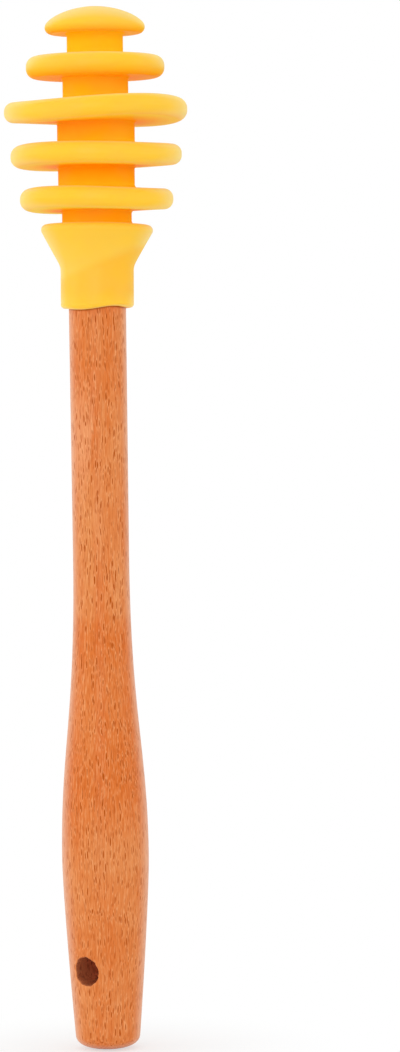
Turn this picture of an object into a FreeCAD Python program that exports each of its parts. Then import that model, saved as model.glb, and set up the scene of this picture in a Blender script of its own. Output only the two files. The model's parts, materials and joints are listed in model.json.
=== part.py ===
"""Honey dipper: a turned beech handle pushed into a one-piece moulded silicone head.

The dipper stands on end along +Z with its head up. Heights are in millimetres above
the tip of the handle's butt, both pieces are turned about the Z axis, and the hanging
hole runs through the handle along Y.
"""
import FreeCAD, Part
import math
import os

# Handle, from the butt up
HANDLE_REACH = 149.0           # from the tip of the butt to the lip of the head
BUTT_DIAMETER = 13.0           # where the rounded end begins
BUTT_CROWN_HEIGHT = 2.7        # height of the rounded end
SWELL_DIAMETER = 17.5          # thickest place, which fills the palm
SWELL_HEIGHT = 39.1
WAIST_DIAMETER = 11.3          # thinnest place, above the swell
WAIST_HEIGHT = 98.8
NECK_DIAMETER = 11.5           # at the lip of the head and inside it
SEAT_DEPTH = 15.0              # length of neck that the head's sleeve covers
TENON_DIAMETER = 8.0           # core that stiffens the soft column of the head
TENON_LENGTH = 30.0
HANG_HOLE_DIAMETER = 5.5
HANG_HOLE_HEIGHT = 16.4

# Shape of the handle's curves
FLARE_WAIST_SHARE = 0.535      # of the height from swell to waist, straight on at the waist
FLARE_SWELL_SHARE = 0.364      # the same, straight on at the swell
TAPER_SWELL_SHARE = 0.173      # of the height from crown to swell, straight on at the swell
TAPER_BUTT_SHARE = 0.33        # of that height, leaning in line with the butt
TAPER_LEAN_SHARE = 0.56        # of the step from swell to butt, left where that lean begins
CROWN_EDGE_SHARE = 0.68        # of the crown's height, straight on at its edge
CROWN_FLAT_SHARE = 0.62        # of the butt's radius, flat at the tip
TENON_TIP_SHARE = 0.3          # rounding of the tenon's tip, of its radius

# Fit of the head on the handle
FIT_CLEARANCE = 0.08           # all round the neck and the tenon
TIP_CLEARANCE = 0.5            # from the tenon's tip to the end of its socket

# Head: the collar that grips the neck
COLLAR_HEIGHT = 17.1           # from the lip to the flat top
COLLAR_DIAMETER = 24.0         # across the flared top, to the corner before its rounding
COLLAR_FLARE_HEIGHT = 8.4      # height of the flared part
COLLAR_EDGE_ROUND = 1.1
SLEEVE_WALL = 1.52             # silicone round the neck below the flare
SLEEVE_BLEND = 3.5             # rounding where the sleeve turns into the flare
LIP_OUTER_SHARE = 0.65         # rounding of the lip, of the sleeve's wall
LIP_INNER_SHARE = 0.2

# Head: the rings that hold the honey, and the column between them
RING_PITCH = 8.87
RING_ROOT_THICKNESS = 4.5      # at the column
RING_RIM_THICKNESS = 4.1       # at the rim, less by the mould's draft
RIM_ROUND_SHARE = 0.46         # rounding of the rim's two edges, of its thickness
ROOT_FILLET = 0.7              # where a ring, the cap or the collar meets the column
LOWER_GROOVE_HEIGHT = 2.75     # between the collar and the lowest ring
UPPER_GROOVE_HEIGHT = 4.34     # between the highest ring and the cap

LOWER_RING_DIAMETER = 30.8
MIDDLE_RING_DIAMETER = 34.4
WIDE_RING_DIAMETER = 36.8
UPPER_RING_DIAMETER = 27.8
COLLAR_COLUMN_DIAMETER = 14.0  # column below the lower ring
LOWER_COLUMN_DIAMETER = 15.4   # column above each ring
MIDDLE_COLUMN_DIAMETER = 15.6
WIDE_COLUMN_DIAMETER = 13.2
UPPER_COLUMN_DIAMETER = 11.3

# Head: the domed cap
CAP_DIAMETER = 20.1
CAP_HEIGHT = 5.7
CAP_DOME_SHARE = 0.75          # of the cap's height, taken by the dome above its widest place
CAP_EDGE_SHARE = 0.92          # rounding of the lower edge, of the height below that place
DOME_CROWN_SHARE = 0.52        # of the cap's radius, flat at the top
DOME_SIDE_SHARE = 0.31         # of the dome's height, straight on at the side

# How far a cut runs past the surface
CUT_OVERRUN = 2.0

# Rings from the lowest up, each with the column that rises from it
RINGS = (
    (LOWER_RING_DIAMETER, LOWER_COLUMN_DIAMETER),
    (MIDDLE_RING_DIAMETER, MIDDLE_COLUMN_DIAMETER),
    (WIDE_RING_DIAMETER, WIDE_COLUMN_DIAMETER),
    (UPPER_RING_DIAMETER, UPPER_COLUMN_DIAMETER),
)

# Places along the axis
shoulder_z = HANDLE_REACH + SEAT_DEPTH
tenon_tip_z = shoulder_z + TENON_LENGTH
socket_end_z = tenon_tip_z + TIP_CLEARANCE
collar_top_z = HANDLE_REACH + COLLAR_HEIGHT
sleeve_top_z = collar_top_z - COLLAR_FLARE_HEIGHT
lowest_ring_z = collar_top_z + LOWER_GROOVE_HEIGHT + RING_ROOT_THICKNESS / 2
highest_ring_z = lowest_ring_z + RING_PITCH * (len(RINGS) - 1)
cap_under_z = highest_ring_z + RING_ROOT_THICKNESS / 2 + UPPER_GROOVE_HEIGHT
cap_top_z = cap_under_z + CAP_HEIGHT


def at(radius, height):
    """Point of a half section, at a distance from the axis and a height."""
    return FreeCAD.Vector(radius, 0, height)


def line(start, end):
    """Straight edge."""
    return Part.LineSegment(start, end).toShape()


def curve(*poles):
    """Smooth edge that leaves its first pole and meets its last along the outer legs."""
    bezier = Part.BezierCurve()
    bezier.setPoles(list(poles))
    return bezier.toShape()


def rounded_path(corners):
    """Edges from corner to corner, each given as (point, rounding), with tangent arcs."""
    edges = []
    start = corners[0][0]
    for (before, _), (corner, rounding), (after, _) in zip(corners, corners[1:], corners[2:]):
        to_before = (before - corner).normalize()
        to_after = (after - corner).normalize()
        half_angle = to_before.getAngle(to_after) / 2
        reach = rounding / math.tan(half_angle)
        sagitta = rounding / math.sin(half_angle) - rounding
        arc_start = corner + to_before * reach
        arc_middle = corner + (to_before + to_after).normalize() * sagitta
        arc_end = corner + to_after * reach
        edges.append(line(start, arc_start))
        if rounding > 0:
            edges.append(Part.Arc(arc_start, arc_middle, arc_end).toShape())
        start = arc_end
    edges.append(line(start, corners[-1][0]))
    return edges


def turned(edges):
    """Solid of revolution about the Z axis of a closed half section."""
    section = Part.Face(Part.Wire(edges))
    return section.revolve(at(0, 0), FreeCAD.Vector(0, 0, 1), 360)


def handle_outline():
    """Half section of the handle: crown, taper, swell, waist, neck and tenon."""
    tip = at(0, 0)
    butt = at(BUTT_DIAMETER / 2, BUTT_CROWN_HEIGHT)
    swell = at(SWELL_DIAMETER / 2, SWELL_HEIGHT)
    waist = at(WAIST_DIAMETER / 2, WAIST_HEIGHT)
    lip = at(NECK_DIAMETER / 2, HANDLE_REACH)
    tenon_tip = at(0, tenon_tip_z)

    taper_height = SWELL_HEIGHT - BUTT_CROWN_HEIGHT
    taper_lean = butt + at((SWELL_DIAMETER - BUTT_DIAMETER) / 2 * (1 - TAPER_LEAN_SHARE),
                           taper_height * TAPER_BUTT_SHARE)
    crown_edge = butt + (butt - taper_lean).normalize() * (BUTT_CROWN_HEIGHT * CROWN_EDGE_SHARE)
    flare_height = WAIST_HEIGHT - SWELL_HEIGHT

    crown = curve(tip, at(BUTT_DIAMETER / 2 * CROWN_FLAT_SHARE, 0), crown_edge, butt)
    taper = curve(butt, taper_lean, swell - at(0, taper_height * TAPER_SWELL_SHARE), swell)
    flare = curve(swell, swell + at(0, flare_height * FLARE_SWELL_SHARE),
                  waist - at(0, flare_height * FLARE_WAIST_SHARE), waist)
    neck_and_tenon = rounded_path((
        (waist, 0),
        (lip, 0),
        (at(NECK_DIAMETER / 2, shoulder_z), 0),
        (at(TENON_DIAMETER / 2, shoulder_z), 0),
        (at(TENON_DIAMETER / 2, tenon_tip_z), TENON_DIAMETER / 2 * TENON_TIP_SHARE),
        (tenon_tip, 0),
    ))
    return [crown, taper, flare] + neck_and_tenon + [line(tenon_tip, tip)]


def ring_corners(diameter, column_below, column_above, middle_z):
    """Corners of one ring, from the column below it, round its rim, to the column above."""
    half_root = RING_ROOT_THICKNESS / 2
    half_rim = RING_RIM_THICKNESS / 2
    rim_round = RING_RIM_THICKNESS * RIM_ROUND_SHARE
    return [
        (at(column_below / 2, middle_z - half_root), ROOT_FILLET),
        (at(diameter / 2, middle_z - half_rim), rim_round),
        (at(diameter / 2, middle_z + half_rim), rim_round),
        (at(column_above / 2, middle_z + half_root), ROOT_FILLET),
    ]


def head_outline():
    """Half section of the head: stepped socket, collar, stack of rings and domed cap."""
    neck_bore = NECK_DIAMETER / 2 + FIT_CLEARANCE
    tenon_bore = TENON_DIAMETER / 2 + FIT_CLEARANCE
    sleeve = neck_bore + SLEEVE_WALL
    socket_end = at(0, socket_end_z)
    dome_height = CAP_HEIGHT * CAP_DOME_SHARE
    cap_side = at(CAP_DIAMETER / 2, cap_top_z - dome_height)
    cap_top = at(0, cap_top_z)

    corners = [
        (socket_end, 0),
        (at(tenon_bore, socket_end_z), TENON_DIAMETER / 2 * TENON_TIP_SHARE),
        (at(tenon_bore, shoulder_z), 0),
        (at(neck_bore, shoulder_z), 0),
        (at(neck_bore, HANDLE_REACH), SLEEVE_WALL * LIP_INNER_SHARE),
        (at(sleeve, HANDLE_REACH), SLEEVE_WALL * LIP_OUTER_SHARE),
        (at(sleeve, sleeve_top_z), SLEEVE_BLEND),
        (at(COLLAR_DIAMETER / 2, collar_top_z), COLLAR_EDGE_ROUND),
        (at(COLLAR_COLUMN_DIAMETER / 2, collar_top_z), ROOT_FILLET),
    ]
    column = COLLAR_COLUMN_DIAMETER
    middle_z = lowest_ring_z
    for ring, column_above in RINGS:
        corners += ring_corners(ring, column, column_above, middle_z)
        column = column_above
        middle_z += RING_PITCH
    corners += [
        (at(column / 2, cap_under_z), ROOT_FILLET),
        (at(CAP_DIAMETER / 2, cap_under_z), (CAP_HEIGHT - dome_height) * CAP_EDGE_SHARE),
        (cap_side, 0),
    ]
    dome = curve(cap_side, cap_side + at(0, dome_height * DOME_SIDE_SHARE),
                 at(CAP_DIAMETER / 2 * DOME_CROWN_SHARE, cap_top_z), cap_top)
    return rounded_path(corners) + [dome, line(cap_top, socket_end)]


def wooden_handle():
    """Turned handle with its hanging hole drilled through near the butt."""
    drill_reach = SWELL_DIAMETER / 2 + CUT_OVERRUN
    drill = Part.makeCylinder(HANG_HOLE_DIAMETER / 2, drill_reach * 2,
                              FreeCAD.Vector(0, -drill_reach, HANG_HOLE_HEIGHT),
                              FreeCAD.Vector(0, 1, 0))
    return turned(handle_outline()).cut(drill)


def silicone_head():
    """Moulded head, with the stepped socket that the neck and the tenon fill."""
    return turned(head_outline())


os.makedirs("parts", exist_ok=True)
for node, piece in (("wooden_handle", wooden_handle()), ("silicone_head", silicone_head())):
    piece.exportStep(os.path.join("parts", node + ".step"))
    print(node, "volume", round(piece.Volume), "mm3, top at", round(piece.BoundBox.ZMax, 2), "mm")
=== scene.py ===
"""Looks of a honey dipper: a turned beech handle with a soft silicone head.

Sizes are in millimetres, angles in degrees and colours in sRGB levels from 0 to 255, unless a
comment says otherwise. Heights are above the tip of the butt, and directions round the axis are
counted from +X towards +Y. Meshes are drafted in millimetres and scaled to Blender's metres
once, when they are made.
"""
import json
import logging
import math
from dataclasses import dataclass, field
from enum import Enum
from typing import Any, Iterable, Optional, Sequence, Union

import bmesh
import bpy
from mathutils import Color, Matrix, Vector


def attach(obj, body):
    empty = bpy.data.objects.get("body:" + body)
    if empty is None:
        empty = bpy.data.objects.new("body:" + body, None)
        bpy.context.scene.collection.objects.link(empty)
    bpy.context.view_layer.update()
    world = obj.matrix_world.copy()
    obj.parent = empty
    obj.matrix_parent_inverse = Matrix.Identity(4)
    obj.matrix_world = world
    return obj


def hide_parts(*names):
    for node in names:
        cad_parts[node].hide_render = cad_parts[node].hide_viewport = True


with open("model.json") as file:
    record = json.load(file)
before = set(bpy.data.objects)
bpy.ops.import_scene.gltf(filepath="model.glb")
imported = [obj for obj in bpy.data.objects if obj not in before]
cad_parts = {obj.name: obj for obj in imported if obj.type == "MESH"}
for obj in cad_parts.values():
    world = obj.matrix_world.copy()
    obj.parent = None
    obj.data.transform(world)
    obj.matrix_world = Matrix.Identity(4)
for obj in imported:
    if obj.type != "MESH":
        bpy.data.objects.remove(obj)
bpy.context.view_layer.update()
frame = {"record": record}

LOG = logging.getLogger("honey_dipper")
METRES_PER_MM = 0.001
MM_PER_METRE = 1000.0
FULL_TURN = 2.0 * math.pi
QUARTER_TURN = math.pi / 2.0
UP = Vector((0.0, 0.0, 1.0))
ORIGIN = Vector((0.0, 0.0, 0.0))
TOP_LEVEL = 255.0            # of red, green or blue
WHITE = (1.0, 1.0, 1.0, 1.0)
TOUCH = 0.01                 # distance below which two places are the same

Rgb = tuple[int, int, int]
Socket = bpy.types.NodeSocket
Sockets = bpy.types.bpy_prop_collection
Value = Union[float, Sequence[float], Socket]


class Body(Enum):
    """Bodies of the frame that pieces ride on."""

    HANDLE = "handle"
    HEAD = "head"


class Node(Enum):
    """Solids of the frame that the pieces stand for."""

    HANDLE = "wooden_handle"
    HEAD = "silicone_head"


class Slot(Enum):
    """Material slots of the record."""

    BEECH = "beech"
    SILICONE = "silicone"


class Mask(Enum):
    """Shares at each vertex that the meshes carry for their finishes."""

    GROOVE = "groove"            # painted bounce light: deeper yellow between the rings
    CAUGHT = "caught_light"      # orange of light that is caught there
    LINE = "lip_line"            # painted shade that the lip casts on the wood


class WoodFace(Enum):
    """Faces of the handle with a finish of their own, as the numbers of their material slots."""

    SIDE = 0
    BORE = 1


class Mouth(Enum):
    """Ends of the hanging hole, as the sign of their Y."""

    FRONT = -1
    BACK = 1

    @property
    def turn(self) -> float:
        """Share of a full turn from +X to this end."""
        return 0.25 if self is Mouth.BACK else 0.75


def linear(colour: Rgb) -> tuple[float, ...]:
    """Values that a shader's colour socket takes for a colour."""
    shares = Color([level / TOP_LEVEL for level in colour])
    return (*shares.from_srgb_to_scene_linear(), 1.0)


def held(value: float, low: float = 0.0, high: float = 1.0) -> float:
    """Keeps a value between two limits."""
    return max(low, min(high, value))


def between(start: float, end: float, share: float) -> float:
    """Number at a share of the way from one to another."""
    return start + (end - start) * share


def even_steps(start: float, end: float, count: int) -> list[float]:
    """Numbers that divide a stretch into equal parts, both ends included."""
    return [start + (end - start) * i / count for i in range(count + 1)]


def angles_round(count: int) -> list[float]:
    """Evenly spaced directions round the axis, in radians."""
    return [FULL_TURN * i / count for i in range(count)]


def around(angle: float, radius: float = 1.0, height: float = 0.0) -> Vector:
    """Place at a direction round the axis, in radians, a radius and a height."""
    return Vector((radius * math.cos(angle), radius * math.sin(angle), height))


def bump(angle: float, middle: float, width: float) -> float:
    """Bell-shaped swelling round the axis.

    Args:
        angle: direction in radians.
        middle: direction of the top of the bell, in degrees.
        width: half width of the bell, in degrees.

    Returns:
        1 at the middle, falling to 0 on both sides.
    """
    away = math.degrees(math.remainder(angle - math.radians(middle), FULL_TURN))
    return math.exp(-((away / width) ** 2))


@dataclass(frozen=True)
class Corner:
    """Corner of a half section, with the radius of the arc that rounds it."""

    radius: float
    height: float
    rounding: float = 0.0

    @property
    def spot(self) -> Vector:
        """Place of the sharp corner, as distance from the axis and height."""
        return Vector((self.radius, self.height))


def bezier(poles: Sequence[Vector], steps: int) -> list[Vector]:
    """Points of a cubic curve.

    Args:
        poles: start, two handles and end.
        steps: number of spans.

    Returns:
        The points, both ends included.
    """
    start, leave, arrive, end = poles
    points = []
    for t in even_steps(0.0, 1.0, steps):
        s = 1.0 - t
        points.append(start * s**3 + leave * (3 * s * s * t) + arrive * (3 * s * t * t) + end * t**3)
    return points


def rounded_path(corners: Sequence[Corner], arc_step: float = 11.0, fewest: int = 2) -> list[Vector]:
    """Points from corner to corner, with tangent arcs at the rounded ones.

    Args:
        corners: the corners in order.
        arc_step: largest turn between two points of an arc, in degrees.
        fewest: least number of spans in an arc.

    Returns:
        The points of the path, both ends included.
    """
    points = [corners[0].spot]
    for before, corner, after in zip(corners, corners[1:], corners[2:]):
        if corner.rounding == 0.0:
            points.append(corner.spot)
            continue
        to_before = (before.spot - corner.spot).normalized()
        to_after = (after.spot - corner.spot).normalized()
        half_angle = to_before.angle(to_after) / 2.0
        inwards = (to_before + to_after).normalized()
        centre = corner.spot + inwards * (corner.rounding / math.sin(half_angle))
        spoke = corner.spot + to_before * (corner.rounding / math.tan(half_angle)) - centre
        turn = math.copysign(math.pi - 2.0 * half_angle, to_after.cross(to_before))
        steps = max(fewest, math.ceil(abs(turn) / math.radians(arc_step)))
        points += [centre + Matrix.Rotation(turn * i / steps, 2) @ spoke for i in range(steps + 1)]
    points.append(corners[-1].spot)
    return points


def spaced(points: Sequence[Vector], longest: float) -> list[Vector]:
    """Divides the long spans of a path.

    Args:
        points: the path.
        longest: length that no span exceeds afterwards.

    Returns:
        The path with the added points.
    """
    dense = [points[0]]
    for start, end in zip(points, points[1:]):
        spans = max(1, math.ceil((end - start).length / longest))
        dense += [start.lerp(end, (i + 1) / spans) for i in range(spans)]
    return dense


@dataclass
class MeshDraft:
    """Vertices and faces of one piece, collected in millimetres."""

    spots: list[Vector] = field(default_factory=list)
    faces: list[tuple[int, ...]] = field(default_factory=list)
    finishes: list[int] = field(default_factory=list)

    def loop(self, spots: Iterable[Vector]) -> list[int]:
        """Adds vertices.

        Args:
            spots: their places.

        Returns:
            Their numbers, in the same order.
        """
        first = len(self.spots)
        self.spots.extend(spots)
        return list(range(first, len(self.spots)))

    def band(self, lower: Sequence[int], upper: Sequence[int], finish: int = 0) -> None:
        """Joins two closed loops of as many vertices with a band of quads.

        Args:
            lower: one loop.
            upper: the other loop, starting beside the first.
            finish: material slot of the new faces.
        """
        for i in range(len(lower)):
            j = (i + 1) % len(lower)
            self.face((lower[i], lower[j], upper[j], upper[i]), finish)

    def grow(self, rim: Sequence[int], spots: Iterable[Vector], finish: int = 0) -> list[int]:
        """Joins a loop to a new one with a band of quads.

        Args:
            rim: the loop.
            spots: places of the new loop, starting beside the first.
            finish: material slot of the new faces.

        Returns:
            The new loop.
        """
        added = self.loop(spots)
        self.band(rim, added, finish)
        return added

    def fan(self, rim: Sequence[int], tip: Vector) -> None:
        """Closes a loop with triangles.

        Args:
            rim: the loop.
            tip: place of the vertex in the middle.
        """
        (middle,) = self.loop([tip])
        for i in range(len(rim)):
            self.face((rim[i], rim[(i + 1) % len(rim)], middle))

    def face(self, corners: tuple[int, ...], finish: int = 0) -> None:
        """Adds one face with its material slot."""
        self.faces.append(corners)
        self.finishes.append(finish)

    def piece(self, name: str, sharp_angle: float) -> bpy.types.Object:
        """Makes the object, in metres.

        Args:
            name: name of the piece.
            sharp_angle: turn between faces from which an edge stays sharp, in degrees.

        Returns:
            The smooth-shaded object, linked to the scene.
        """
        mesh = bpy.data.meshes.new(name)
        mesh.from_pydata([spot * METRES_PER_MM for spot in self.spots], [], self.faces)
        mesh.polygons.foreach_set("material_index", self.finishes)
        solid = bmesh.new()
        solid.from_mesh(mesh)
        loose = [vertex for vertex in solid.verts if not vertex.link_faces]
        bmesh.ops.delete(solid, geom=loose, context="VERTS")
        bmesh.ops.recalc_face_normals(solid, faces=solid.faces)
        solid.to_mesh(mesh)
        solid.free()
        mesh.shade_smooth()
        mesh.set_sharp_from_angle(angle=math.radians(sharp_angle))
        made = bpy.data.objects.new(name, mesh)
        bpy.context.scene.collection.objects.link(made)
        return made


def write_mask(piece: bpy.types.Object, mask: Mask, shares: Sequence[float]) -> None:
    """Writes the shares of a mask at the vertices of a piece."""
    layer = piece.data.attributes.new(mask.value, "FLOAT", "POINT")
    layer.data.foreach_set("value", shares)


class NodeSheet:
    """Node tree with short calls for placing nodes and joining them."""

    FACING_BLEND = 0.5           # even change from face-on to edge-on
    MIX_FIRST = 6                # numbers of the Mix node's sockets for colours
    MIX_SECOND = 7
    MIX_RESULT = 2

    def __init__(self, tree: bpy.types.NodeTree) -> None:
        """Takes the tree and empties it."""
        self.tree = tree
        self.tree.nodes.clear()

    @classmethod
    def material(cls, name: str) -> tuple[bpy.types.Material, "NodeSheet"]:
        """Starts a material.

        Args:
            name: its name.

        Returns:
            The material and its empty sheet.
        """
        made = bpy.data.materials.new(name)
        made.use_nodes = True
        return made, cls(made.node_tree)

    def feed(self, socket: Socket, value: Value) -> None:
        """Joins an output to an input, or sets the input to a constant.

        Args:
            socket: the input.
            value: the output or the constant.
        """
        if isinstance(value, Socket):
            self.tree.links.new(value, socket)
        else:
            socket.default_value = value

    def add(self, kind: str, inputs: Optional[dict[Any, Value]] = None, **settings: Any) -> bpy.types.Node:
        """Places a node.

        Args:
            kind: Blender's name of the node type.
            inputs: values or outputs for its sockets, by name or number.
            settings: properties of the node itself.

        Returns:
            The node.
        """
        node = self.tree.nodes.new(kind)
        for setting, value in settings.items():
            setattr(node, setting, value)
        for socket, value in (inputs or {}).items():
            self.feed(node.inputs[socket], value)
        return node

    def math(self, operation: str, first: Value, second: Value = 0.0) -> Socket:
        """Result of a sum on two numbers."""
        return self.add("ShaderNodeMath", {0: first, 1: second}, operation=operation).outputs[0]

    def times(self, first: Value, second: Value) -> Socket:
        """Product of two numbers."""
        return self.math("MULTIPLY", first, second)

    def rest(self, share: Value) -> Socket:
        """What a share leaves of 1."""
        return self.math("SUBTRACT", 1.0, share)

    def vector(self, operation: str, first: Value, second: Value = ORIGIN,
               result: str = "Vector") -> Socket:
        """Vector, or else Value, that a sum on two vectors gives."""
        node = self.add("ShaderNodeVectorMath", {0: first, 1: second}, operation=operation)
        return node.outputs[result]

    def scaled(self, vector: Value, factor: Value) -> Socket:
        """Vector times a number."""
        node = self.add("ShaderNodeVectorMath", {0: vector, "Scale": factor}, operation="SCALE")
        return node.outputs[0]

    def axes(self, vector: Value) -> Sockets:
        """Outputs X, Y and Z of a vector."""
        return self.add("ShaderNodeSeparateXYZ", {0: vector}).outputs

    def ease(self, value: Value, low: Value, high: Value, start: float = 0.0, end: float = 1.0) -> Socket:
        """Smooth step from one level to another.

        Args:
            value: number that is mapped.
            low: where the step begins.
            high: where it ends.
            start: level below the step.
            end: level above it.

        Returns:
            The level.
        """
        steps = {0: value, 1: low, 2: high, 3: start, 4: end}
        return self.add("ShaderNodeMapRange", steps, interpolation_type="SMOOTHSTEP").outputs[0]

    def mix(self, share: Value, first: Value, second: Value) -> Socket:
        """Colour between two colours, where a share of 1 gives the second."""
        inputs = {0: share, self.MIX_FIRST: first, self.MIX_SECOND: second}
        return self.add("ShaderNodeMix", inputs, data_type="RGBA").outputs[self.MIX_RESULT]

    def group(self, tree: bpy.types.NodeTree, inputs: dict[str, Value]) -> Sockets:
        """Outputs of a node group, placed with its own values."""
        return self.add("ShaderNodeGroup", inputs, node_tree=tree).outputs

    def place_mm(self) -> Socket:
        """Place on the piece in millimetres."""
        return self.scaled(self.add("ShaderNodeTexCoord").outputs["Object"], MM_PER_METRE)

    def noise(self, place: Value, cell: Value, detail: Value) -> Sockets:
        """Outputs of a cloudy pattern whose patches have the size of a cell."""
        cells = self.vector("DIVIDE", place, cell)
        return self.add("ShaderNodeTexNoise", {"Vector": cells, "Scale": 1.0, "Detail": detail}).outputs

    def mask(self, mask: Mask) -> Socket:
        """Share that the mesh carries."""
        return self.add("ShaderNodeAttribute", attribute_name=mask.value).outputs["Fac"]

    def facing(self) -> Socket:
        """0 where the surface is seen face-on, 1 where it is seen edge-on."""
        return self.add("ShaderNodeLayerWeight", {"Blend": self.FACING_BLEND}).outputs["Facing"]

    def relief(self, height: Value, strength: float, depth: float) -> Socket:
        """Normal of a skin with fine relief of a depth."""
        inputs = {"Height": height, "Strength": strength, "Distance": depth * METRES_PER_MM}
        return self.add("ShaderNodeBump", inputs).outputs[0]

    def surface(self, inputs: dict[str, Value]) -> None:
        """Ends a material with a surface that shines through its thin coat alone."""
        self.close(self.add("ShaderNodeBsdfPrincipled", {"Specular IOR Level": 0.0, **inputs}).outputs[0])

    def close(self, shader: Socket, kind: str = "ShaderNodeOutputMaterial") -> None:
        """Joins the last shader to an output node."""
        self.add(kind, {"Surface": shader})


@dataclass(frozen=True)
class FleckLayer:
    """One population of spindle-shaped marks in the wood."""

    output: str
    width: float             # spacing across the grain
    length: float            # spacing along the grain
    size: float              # half thickness of a mark, as a share of the spacing
    softness: float          # share of that taken by the soft edge
    share: float             # share of the places that hold a mark
    shift: float             # moves the population away from the others
    border: str = ""         # output of the pale wood that lies round each mark


class SurfaceEffects:
    """Shader node groups that more than one finish uses, each built once."""

    FLECKS = (
        FleckLayer("Rays", width=0.4, length=3.0, size=0.34, softness=0.35, share=1.0, shift=0.0,
                   border="Pale Borders"),
        FleckLayer("Fine Rays", width=0.32, length=2.0, size=0.33, softness=0.6, share=1.0, shift=31.0),
        FleckLayer("Pores", width=0.8, length=4.8, size=0.18, softness=0.3, share=0.9, shift=57.0),
    )
    BORDER_REACH = 1.6                   # outer edge of a pale border, as a share of its mark's size
    DRIFT_CELL = (6.0, 6.0, 9.0)         # patches in which the grain wanders to one side
    DRIFT_DETAIL = 1.5
    DRIFT_MEAN = (0.5, 0.5, 0.5)         # the pattern's middle level
    DRIFT_SWING = (2.0, 2.0, 0.0)        # makes it reach 1 both ways across the grain, and not along it
    FIBRE_CELL = (0.22, 0.22, 4.2)
    FIBRE_DETAIL = 1.0

    @staticmethod
    def start(name: str, inputs: dict[str, float],
              outputs: Iterable[str]) -> tuple[NodeSheet, Sockets, Sockets]:
        """Starts a group with its sockets.

        Args:
            name: name of the group.
            inputs: input sockets with their usual values.
            outputs: output sockets.

        Returns:
            The sheet, the inner end of the inputs and the inner end of the outputs.
        """
        tree = bpy.data.node_groups.new(name, "ShaderNodeTree")
        for label, usual in inputs.items():
            socket = tree.interface.new_socket(label, in_out="INPUT", socket_type="NodeSocketFloat")
            socket.default_value = usual
        for label in outputs:
            tree.interface.new_socket(label, in_out="OUTPUT", socket_type="NodeSocketFloat")
        sheet = NodeSheet(tree)
        return sheet, sheet.add("NodeGroupInput").outputs, sheet.add("NodeGroupOutput").inputs

    @classmethod
    def mottle(cls) -> bpy.types.NodeTree:
        """Soft cloudy variation.

        Returns:
            Group with the patch sizes across and along the axis, in millimetres, and a mask.
        """
        found = bpy.data.node_groups.get("mottle")
        if found:
            return found
        inputs = {"Across": 8.0, "Along": 8.0, "Detail": 2.0, "Low": 0.35, "High": 0.65}
        sheet, given, result = cls.start("mottle", inputs, ("Mask",))
        across, along = given["Across"], given["Along"]
        cell = sheet.add("ShaderNodeCombineXYZ", {0: across, 1: across, 2: along}).outputs[0]
        cloud = sheet.noise(sheet.place_mm(), cell, given["Detail"])["Fac"]
        sheet.feed(result["Mask"], sheet.ease(cloud, given["Low"], given["High"]))
        return sheet.tree

    @classmethod
    def beech_grain(cls) -> bpy.types.NodeTree:
        """Marks of beech: ray flecks, pores and fibres along the handle.

        Returns:
            Group with the grain's wander in millimetres, and a mask for each kind of mark.
        """
        found = bpy.data.node_groups.get("beech_grain")
        if found:
            return found
        outputs = [name for layer in cls.FLECKS for name in (layer.output, layer.border) if name]
        sheet, given, result = cls.start("beech_grain", {"Wander": 1.0}, outputs + ["Fibres"])
        place = sheet.place_mm()
        drift = sheet.noise(place, cls.DRIFT_CELL, cls.DRIFT_DETAIL)["Color"]
        drift = sheet.vector("SUBTRACT", drift, cls.DRIFT_MEAN)
        drift = sheet.vector("MULTIPLY", drift, cls.DRIFT_SWING)
        grain = sheet.vector("ADD", place, sheet.scaled(drift, given["Wander"]))
        for layer in cls.FLECKS:
            mark, border = cls.flecks(sheet, grain, layer)
            sheet.feed(result[layer.output], mark)
            if layer.border:
                sheet.feed(result[layer.border], border)
        sheet.feed(result["Fibres"], sheet.noise(grain, cls.FIBRE_CELL, cls.FIBRE_DETAIL)["Fac"])
        return sheet.tree

    @classmethod
    def flecks(cls, sheet: NodeSheet, grain: Socket, layer: FleckLayer) -> tuple[Socket, Socket]:
        """Masks of one population of marks.

        Args:
            sheet: sheet of the group.
            grain: place along the wandering grain, in millimetres.
            layer: the population.

        Returns:
            1 in the middle of a strong mark and 0 between the marks, and 1 in the wood round it.
        """
        cell = sheet.vector("DIVIDE", grain, (layer.width, layer.width, layer.length))
        moved = sheet.vector("ADD", cell, (layer.shift, layer.shift, layer.shift))
        inputs = {"Vector": moved, "Scale": 1.0, "Randomness": 1.0}
        cells = sheet.add("ShaderNodeTexVoronoi", inputs).outputs
        chance = sheet.add("ShaderNodeSeparateColor", {0: cells["Color"]}).outputs[0]
        kept = sheet.math("SQRT", sheet.ease(chance, 1.0 - layer.share, 1.0))
        edge = layer.size * (1.0 - layer.softness)
        inside = sheet.ease(cells["Distance"], edge, layer.size, 1.0, 0.0)
        near = sheet.ease(cells["Distance"], layer.size, layer.size * cls.BORDER_REACH, 1.0, 0.0)
        border = sheet.math("SUBTRACT", near, inside)
        return sheet.times(inside, kept), sheet.times(border, kept)


@dataclass(frozen=True)
class Mottle:
    """Values of the cloudy variation in one finish."""

    across: float            # size of a patch across the axis
    along: float             # and along it
    low: float               # levels of the pattern between which the mask rises
    high: float

    def mask(self, sheet: NodeSheet) -> Socket:
        """Mask of the clouds on a material's sheet."""
        values = {"Across": self.across, "Along": self.along, "Low": self.low, "High": self.high}
        return sheet.group(SurfaceEffects.mottle(), values)["Mask"]


@dataclass(frozen=True)
class Stain:
    """Stretch of the handle where the wood has another tint."""

    middle: float
    reach: float                         # height on both sides over which it fades
    strength: float
    tint: Rgb = (215, 105, 28)           # redder wood
    side: Optional[float] = None         # direction to which it keeps, if it doesn't go all round
    twist: float = 0.0                   # turn of that direction for each millimetre of height
    softness: float = 0.9                # width of the border on that side, as a share of the radius


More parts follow.
